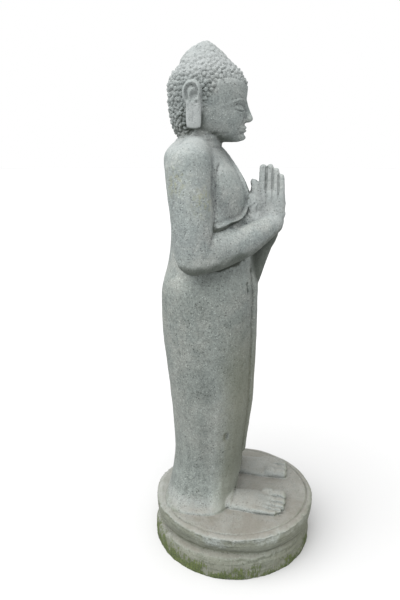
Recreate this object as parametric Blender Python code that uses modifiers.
"""A standing stone figure with joined palms on a round two-ring base, all carved from one block.

Metres, +Z up. The figure faces -Y, so its right side is -X, and it stands on the middle of the
base's underside, which is the origin. Run it with: blender --background --python part.py
"""

import math

import bmesh
import bpy
import numpy as np
from mathutils import Matrix

# Driving dimensions.
HEIGHT = 1.81
BASE_RADIUS = 0.306
BASE_TOP = 0.172
GROOVE_Z = 0.098
BASE_OVAL = 1.035  # how much wider than deep the base is
AXIS_Y = 0.10  # the body stands this far behind the middle of the base
FIGURE_X = 0.018  # and this far to the figure's left of it

CROWN_Z = 1.733
CHIN_Z = 1.486
SHOULDER_X = 0.205
SHOULDER_Z = 1.416
ELBOW = (0.232, 0.118, 1.142)
WRIST = (0.036, -0.118, 1.217)
KNUCKLE_Z = 1.330
FOOT_X = 0.117
FOOT_WIDTH = 0.136
FOOT_HEIGHT = 0.037  # the feet are low on the base
LEFT_FOOT_OUT = 0.014  # how much further out the left foot stands
TOE_Y = -0.205

CLOTH_THICKNESS = 0.010
CLOTH_EDGE_BEHIND = 0.004  # the outer robe thins to this at its upright edge behind
CLOTH_FOLD = 0.004
FOLD_COUNT = 12

# How finely the forms are fused, and what is left of them.
VOXEL = 0.006
SMOOTHING_ROUNDS = 6
FIGURE_TRIANGLES = 7600
BASE_STEPS = 64

NAME = "stone_statue"
STONE_COLOUR = (0.30, 0.32, 0.30, 1.0)


# ------------------------------------------------------------------ curves and small tools


def through(keys, values, at):
    """A smooth curve through the keyed values that never overshoots them."""
    keys, values = np.asarray(keys, float), np.asarray(values, float)
    step = np.diff(keys)
    slope = np.diff(values) / step
    tangent = np.zeros_like(values)
    tangent[0], tangent[-1] = slope[0], slope[-1]
    product, total = slope[:-1] * slope[1:], slope[:-1] + slope[1:]
    rising = product > 0
    tangent[1:-1][rising] = 2 * product[rising] / total[rising]
    i = np.clip(np.searchsorted(keys, at) - 1, 0, len(step) - 1)
    t = np.clip((np.asarray(at, float) - keys[i]) / step[i], 0, 1)
    rise = values[i + 1] - values[i]
    start, end = tangent[i] * step[i], tangent[i + 1] * step[i]
    bend = 3 * rise - 2 * start - end
    return values[i] + start * t + bend * t**2 + (start + end - 2 * rise) * t**3


def ease(low, high, at):
    """0 below low, 1 above high, and smooth between."""
    t = np.clip((np.asarray(at, float) - low) / (high - low), 0, 1)
    return t * t * (3 - 2 * t)


def link(name, mesh):
    thing = bpy.data.objects.new(name, mesh)
    bpy.context.scene.collection.objects.link(thing)
    return thing


def to_mesh(thing):
    """Replaces an object by its evaluated mesh, its points in world space and its caps welded."""
    graph = bpy.context.evaluated_depsgraph_get()
    evaluated = thing.evaluated_get(graph)
    mesh = bpy.data.meshes.new_from_object(evaluated)
    mesh.transform(evaluated.matrix_world)
    shape = bmesh.new()
    shape.from_mesh(mesh)
    bmesh.ops.remove_doubles(shape, verts=shape.verts, dist=1e-5)
    bmesh.ops.recalc_face_normals(shape, faces=shape.faces)
    shape.to_mesh(mesh)
    shape.free()
    name = thing.name
    bpy.data.objects.remove(thing)
    return link(name, mesh)


def ball(centre, radius, scale=(1, 1, 1), turn=(0, 0, 0)):
    bpy.ops.mesh.primitive_uv_sphere_add(
        segments=32, ring_count=20, radius=radius, location=centre, rotation=turn, scale=scale
    )
    return to_mesh(bpy.context.active_object)


def limb(path, radii):
    """A round tapering limb through the path, with a ball at each end."""
    curve = bpy.data.curves.new("limb", "CURVE")
    curve.dimensions = "3D"
    curve.bevel_depth = 1
    curve.bevel_resolution = 6
    curve.use_fill_caps = True
    curve.resolution_u = 8
    spline = curve.splines.new("BEZIER")
    spline.bezier_points.add(len(path) - 1)
    for point, place, radius in zip(spline.bezier_points, path, radii):
        point.co = place
        point.radius = radius
        point.handle_left_type = point.handle_right_type = "AUTO"
    return [to_mesh(link("limb", curve)), ball(path[0], radii[0]), ball(path[-1], radii[-1])]


def loft(rings):
    """A closed skin over rings of equally many points, with a flat cap at each end."""
    shape = bmesh.new()
    loops = [[shape.verts.new(point) for point in ring] for ring in rings]
    for below, above in zip(loops, loops[1:]):
        for i in range(len(below)):
            j = (i + 1) % len(below)
            shape.faces.new((below[i], below[j], above[j], above[i]))
    shape.faces.new(loops[0][::-1])
    shape.faces.new(loops[-1])
    bmesh.ops.recalc_face_normals(shape, faces=shape.faces)
    mesh = bpy.data.meshes.new("loft")
    shape.to_mesh(mesh)
    shape.free()
    return link("loft", mesh)


def level_loft(stations, count, middle_x=0.0, taper=0.0, around=64):
    """A loft of level sections. A station is height, half width, front y, back y and squareness."""
    stations = np.asarray(stations, float)
    heights = np.linspace(stations[0, 0], stations[-1, 0], count)
    columns = [through(stations[:, 0], stations[:, k], heights) for k in range(1, 5)]
    angle = np.linspace(0, 2 * math.pi, around, endpoint=False)
    across, along = np.cos(angle), np.sin(angle)
    rings = []
    for z, half_width, front, back, squareness in zip(heights, *columns):
        x = np.sign(across) * np.abs(across) ** (2 / squareness)
        y = np.sign(along) * np.abs(along) ** (2 / squareness)
        x = middle_x + half_width * x * (1 + taper * y)
        y = (front + back) / 2 + (back - front) / 2 * y
        rings.append(np.column_stack([x, y, np.full_like(x, z)]))
    return loft(rings)


def both_sides(things):
    """The things and their mirror images across the figure's middle plane."""
    copies = []
    for thing in things:
        mesh = thing.data.copy()
        mesh.transform(Matrix.Scale(-1, 4, (1, 0, 0)))
        mesh.flip_normals()
        copies.append(link(thing.name, mesh))
    return things + copies


# ------------------------------------------------------------------ the forms of the figure


def trunk():
    """Robe, chest and neck."""
    return [level_loft([
        (BASE_TOP - 0.03, 0.235, -0.008, 0.264, 3.1),
        (0.178, 0.233, -0.009, 0.262, 3.1),  # the hem, spread on the base
        (0.190, 0.219, -0.010, 0.256, 2.9),
        (0.212, 0.202, -0.012, 0.250, 2.6),
        (0.255, 0.184, -0.022, 0.242, 2.4),
        (0.360, 0.168, -0.031, 0.231, 2.4),  # ankles
        (0.600, 0.186, -0.054, 0.248, 2.4),  # knees
        (0.880, 0.208, -0.060, 0.274, 2.3),  # hips
        (0.970, 0.204, -0.059, 0.274, 2.3),
        (1.090, 0.174, -0.049, 0.249, 2.2),  # waist
        (1.200, 0.178, -0.037, 0.238, 2.2),
        (1.310, 0.194, -0.030, 0.240, 2.3),  # chest
        (1.380, 0.200, 0.003, 0.252, 2.4),
        (1.440, 0.186, 0.050, 0.257, 2.3),
        (1.475, 0.130, 0.070, 0.242, 2.2),
        (1.505, 0.076, 0.057, 0.216, 2.0),  # neck
        (1.560, 0.074, 0.045, 0.210, 2.0),
    ], 90)]


def head():
    """Skull and jaw, the topknot, and a long ear on each side, nodding a little."""
    skull = level_loft([
        (CHIN_Z, 0.018, 0.008, 0.080, 2.0),
        (CHIN_Z + 0.010, 0.042, -0.001, 0.200, 2.1),
        (CHIN_Z + 0.035, 0.072, -0.007, 0.228, 2.2),
        (1.560, 0.091, -0.013, 0.240, 2.2),
        (1.620, 0.104, -0.018, 0.252, 2.2),
        (1.665, 0.109, -0.023, 0.252, 2.2),
        (1.700, 0.102, -0.007, 0.239, 2.1),
        (CROWN_Z - 0.006, 0.085, 0.020, 0.219, 2.0),
        (1.754, 0.071, 0.041, 0.206, 2.0),
        (1.780, 0.049, 0.068, 0.184, 2.0),
        (HEIGHT - 0.011, 0.027, 0.091, 0.153, 2.0),
        (HEIGHT, 0.006, 0.113, 0.127, 2.0),
    ], 70, taper=0.10)
    nose = limb([(0, -0.010, 1.612), (0, -0.022, 1.575), (0, -0.024, 1.560)], [0.008, 0.011, 0.013])
    nostril = ball((0.012, -0.016, 1.558), 0.010)
    lips = ball((0, -0.008, 1.532), 0.012, (1.7, 0.9, 0.9))
    chin = ball((0, 0.002, CHIN_Z + 0.018), 0.018)
    ear = ball((0.112, 0.154, 1.640), 0.040, (0.42, 0.74, 0.95))
    lobe = ball((0.112, 0.152, 1.570), 0.045, (0.30, 0.60, 0.95))
    return [skull, lips, chin] + nose + both_sides([nostril, ear, lobe])


def arms():
    """Upper arms down the sides and forearms rising to the joined wrists, with stone left behind them."""
    shoulder = (SHOULDER_X, 0.140, SHOULDER_Z)
    upper = limb([shoulder, (0.224, 0.130, 1.300), ELBOW], [0.070, 0.064, 0.062])
    middle = (0.150, -0.004, 1.158)
    lower = limb([ELBOW, middle, WRIST], [0.062, 0.055, 0.037])
    yoke = limb([(0.080, 0.138, 1.462), shoulder], [0.050, 0.066])
    rear = limb([(0.198, 0.157, 1.400), (0.216, 0.148, 1.290), (0.218, 0.140, 1.150)], [0.063, 0.057, 0.050])
    behind = ball((0.165, 0.100, 1.200), 0.070, (0.8, 1.2, 1.7))
    return both_sides(upper + lower + yoke + rear + [behind])


def hands():
    """Two palms pressed together, four fingers and a thumb on each, and the cloth behind them."""
    palm = ball((0.020, -0.112, 1.285), 0.058, (0.36, 0.82, 1.05))
    heel = ball((0.022, -0.112, 1.246), 0.040, (0.65, 1.16, 1.00))
    gathers = ball((0.012, -0.048, 1.262), 0.050, (0.84, 0.72, 1.12))
    gathers_below = ball((0.018, -0.056, 1.224), 0.044, (1.05, 0.91, 1.00))
    #  y at the knuckle, y and height at the tip, thickness
    fingers = [
        (-0.080, -0.084, 1.415, 0.0115),
        (-0.103, -0.106, 1.418, 0.0120),
        (-0.125, -0.124, 1.404, 0.0115),
        (-0.145, -0.138, 1.381, 0.0105),
    ]
    made = [palm, heel, gathers, gathers_below]
    for knuckle_y, tip_y, tip_z, thick in fingers:
        joint = (0.014, knuckle_y, KNUCKLE_Z - 0.02)
        made += limb([joint, (0.012, tip_y, tip_z - thick)], [thick * 1.15, thick])
    made += limb([(0.018, -0.070, 1.270), (0.013, -0.050, 1.354)], [0.017, 0.012])
    return both_sides(made)


def feet():
    """Bare feet side by side, coming out under the robe."""
    half = FOOT_WIDTH / 2
    rings = []
    angle = np.linspace(0, 2 * math.pi, 40, endpoint=False)
    for y in np.linspace(0.06, TOE_Y + 0.062, 16):
        top = FOOT_HEIGHT * through([-0.143, -0.11, -0.04, 0.06], [0.72, 0.88, 1.0, 1.05], y)
        wide = half * through([-0.143, -0.11, -0.02, 0.06], [0.98, 1.0, 0.86, 0.80], y)
        x = FOOT_X + wide * np.cos(angle)
        z = BASE_TOP + top * np.maximum(np.sin(angle), -0.4)
        rings.append(np.column_stack([x, np.full_like(x, y), z]))
    made = [loft(rings)]
    for k in range(5):  # from the big toe outwards
        thick = (0.0225, 0.0165, 0.0158, 0.0130, 0.0110)[k]
        x = FOOT_X - half + (0.0215, 0.0605, 0.0925, 0.1150, 0.1290)[k]
        tip = TOE_Y + (0.000, 0.001, 0.004, 0.014, 0.032)[k]
        root = (x, tip + 0.074, BASE_TOP + 0.0145)
        made += limb([root, (x, tip + thick, BASE_TOP + 0.0115)], [thick, thick * 0.96])
    both = both_sides(made)
    for thing in both[:len(made)]:  # the left one
        thing.data.transform(Matrix.Translation((LEFT_FOOT_OUT, 0, 0)))
    return both


def drape():
    """The cloth that hangs from the left forearm, flat along it, and runs in to the body below."""
    reach = math.atan2(ELBOW[1] - WRIST[1], ELBOW[0] - WRIST[0])
    #  height, middle x, middle y, half length along the forearm, half thickness
    stations = np.array([
        (0.900, 0.101, 0.087, 0.128, 0.040),
        (1.000, 0.104, 0.052, 0.138, 0.048),
        (1.050, 0.106, 0.034, 0.140, 0.050),
        (1.100, 0.113, 0.013, 0.143, 0.050),
        (1.150, 0.120, -0.008, 0.147, 0.047),
        (1.200, 0.128, -0.022, 0.150, 0.043),
    ])
    heights = np.linspace(stations[0, 0], stations[-1, 0], 30)
    columns = [through(stations[:, 0], stations[:, k], heights) for k in range(1, 5)]
    angle = np.linspace(0, 2 * math.pi, 48, endpoint=False)
    along = np.sign(np.cos(angle)) * np.abs(np.cos(angle)) ** 0.8
    across = np.sign(np.sin(angle)) * np.abs(np.sin(angle)) ** 0.8
    rings = []
    for z, middle_x, middle_y, length, thickness in zip(heights, *columns):
        x = middle_x + length * along * math.cos(reach) - thickness * across * math.sin(reach)
        y = middle_y + length * along * math.sin(reach) + thickness * across * math.cos(reach)
        rings.append(np.column_stack([x, y, np.full_like(x, z)]))
    return [loft(rings)]


def fused(things):
    """One even skin over all the forms, and where they meet, a soft fillet."""
    bpy.ops.object.select_all(action="DESELECT")
    for thing in things:
        thing.select_set(True)
    bpy.context.view_layer.objects.active = things[0]
    bpy.ops.object.join()
    whole = things[0]
    whole.data.transform(Matrix.Translation((FIGURE_X, 0, 0)))
    remesh = whole.modifiers.new("fuse", "REMESH")
    remesh.mode = "VOXEL"
    remesh.voxel_size = VOXEL
    smooth = whole.modifiers.new("soften", "SMOOTH")
    smooth.factor = 0.5
    smooth.iterations = SMOOTHING_ROUNDS
    return to_mesh(whole)


# ------------------------------------------------------------------ carving on the fused skin


def cloth_edge(z):
    """The x of the upright front edge of the hanging cloth."""
    return through([0.28, 0.60, 1.00, 1.20], [-0.020, -0.028, -0.035, -0.030], z)


def carve(statue):
    """Cuts the drapery into the skin by moving its points along their normals."""
    mesh = statue.data
    count = len(mesh.vertices)
    points, normals = np.empty(count * 3), np.empty(count * 3)
    mesh.vertices.foreach_get("co", points)
    mesh.vertices.foreach_get("normal", normals)
    points, normals = points.reshape(-1, 3), normals.reshape(-1, 3)
    x, y, z = points.T
    x = x - FIGURE_X
    around = np.arctan2(np.where(y > AXIS_Y, np.abs(x), x), AXIS_Y - y)
    hem = 0.335 + 0.05 * ease(0.3, 2.2, around)
    level = ease(-0.006, 0.006, z - hem) * (1 - ease(0.98, 1.14, z))
    cloth = level * ease(-0.006, 0.006, x - cloth_edge(z)) * (1 - ease(2.05, 2.11, around))
    thickness = CLOTH_THICKNESS + (CLOTH_EDGE_BEHIND - CLOTH_THICKNESS) * ease(1.4, 2.0, around)
    folded = ease(0.30, 0.65, around) * (1 - ease(1.40, 1.65, around))
    fold = CLOTH_FOLD * np.cos(FOLD_COUNT * around) * folded
    points += normals * (cloth * (thickness + fold))[:, None]
    mesh.vertices.foreach_set("co", points.ravel())
    mesh.update()
    return statue


# ------------------------------------------------------------------ the base and the whole


def base():
    """Two turned rings. The profile runs down the outer side of each, with a groove between them."""
    side = [
        (BASE_TOP, -0.021),
        (BASE_TOP - 0.002, -0.009),
        (BASE_TOP - 0.008, -0.002),
        (BASE_TOP - 0.016, 0.0),  # the rim is the widest place
        (0.142, -0.001),
        (0.124, -0.007),
        (GROOVE_Z + 0.010, -0.016),
        (GROOVE_Z, -0.025),
        (GROOVE_Z - 0.006, -0.017),
        (0.084, -0.007),
        (0.066, -0.003),
        (0.020, -0.002),
        (0.004, -0.005),
        (0.0, -0.008),
    ]
    profile = [(0, BASE_TOP)] + [(BASE_RADIUS + out, z) for z, out in side] + [(0, 0)]
    shape = bmesh.new()
    points = [shape.verts.new((radius, 0, z)) for radius, z in profile]
    for start, end in zip(points, points[1:]):
        shape.edges.new((start, end))
    mesh = bpy.data.meshes.new("base")
    shape.to_mesh(mesh)
    shape.free()
    turned = link("base", mesh)
    screw = turned.modifiers.new("turn", "SCREW")
    screw.steps = screw.render_steps = BASE_STEPS
    screw.use_merge_vertices = True
    screw.merge_threshold = 0.0001
    turned = to_mesh(turned)
    turned.data.transform(Matrix.Scale(BASE_OVAL, 4, (1, 0, 0)))
    return turned


def stone():
    material = bpy.data.materials.new("stone")
    material.use_nodes = True
    finish = material.node_tree.nodes["Principled BSDF"]
    finish.inputs["Base Color"].default_value = STONE_COLOUR
    finish.inputs["Roughness"].default_value = 0.85
    finish.inputs["Metallic"].default_value = 0.0
    return material


def collect(thing, name):
    for old in list(thing.users_collection):
        old.objects.unlink(thing)
    group = bpy.data.collections.get(name) or bpy.data.collections.new(name)
    if name not in bpy.context.scene.collection.children:
        bpy.context.scene.collection.children.link(group)
    group.objects.link(thing)
    return group


def build():
    for thing in list(bpy.data.objects):
        bpy.data.objects.remove(thing)
    statue = carve(fused(trunk() + head() + arms() + hands() + feet() + drape()))
    statue.name = NAME
    collect(statue, "standing_figure")
    thin = statue.modifiers.new("thin", "DECIMATE")
    thin.ratio = FIGURE_TRIANGLES / (2 * len(statue.data.polygons))
    thin.use_collapse_triangulate = True
    plinth = base()
    plinth.hide_render = True
    plinth.display_type = "WIRE"
    helpers = collect(plinth, "helpers")
    helpers.hide_render = True
    join = statue.modifiers.new("stand", "BOOLEAN")
    join.operation = "UNION"
    join.object = plinth
    statue.data.materials.clear()
    statue.data.materials.append(stone())
    statue.data.shade_smooth()
    statue.data.set_sharp_from_angle(angle=math.radians(40))


build()
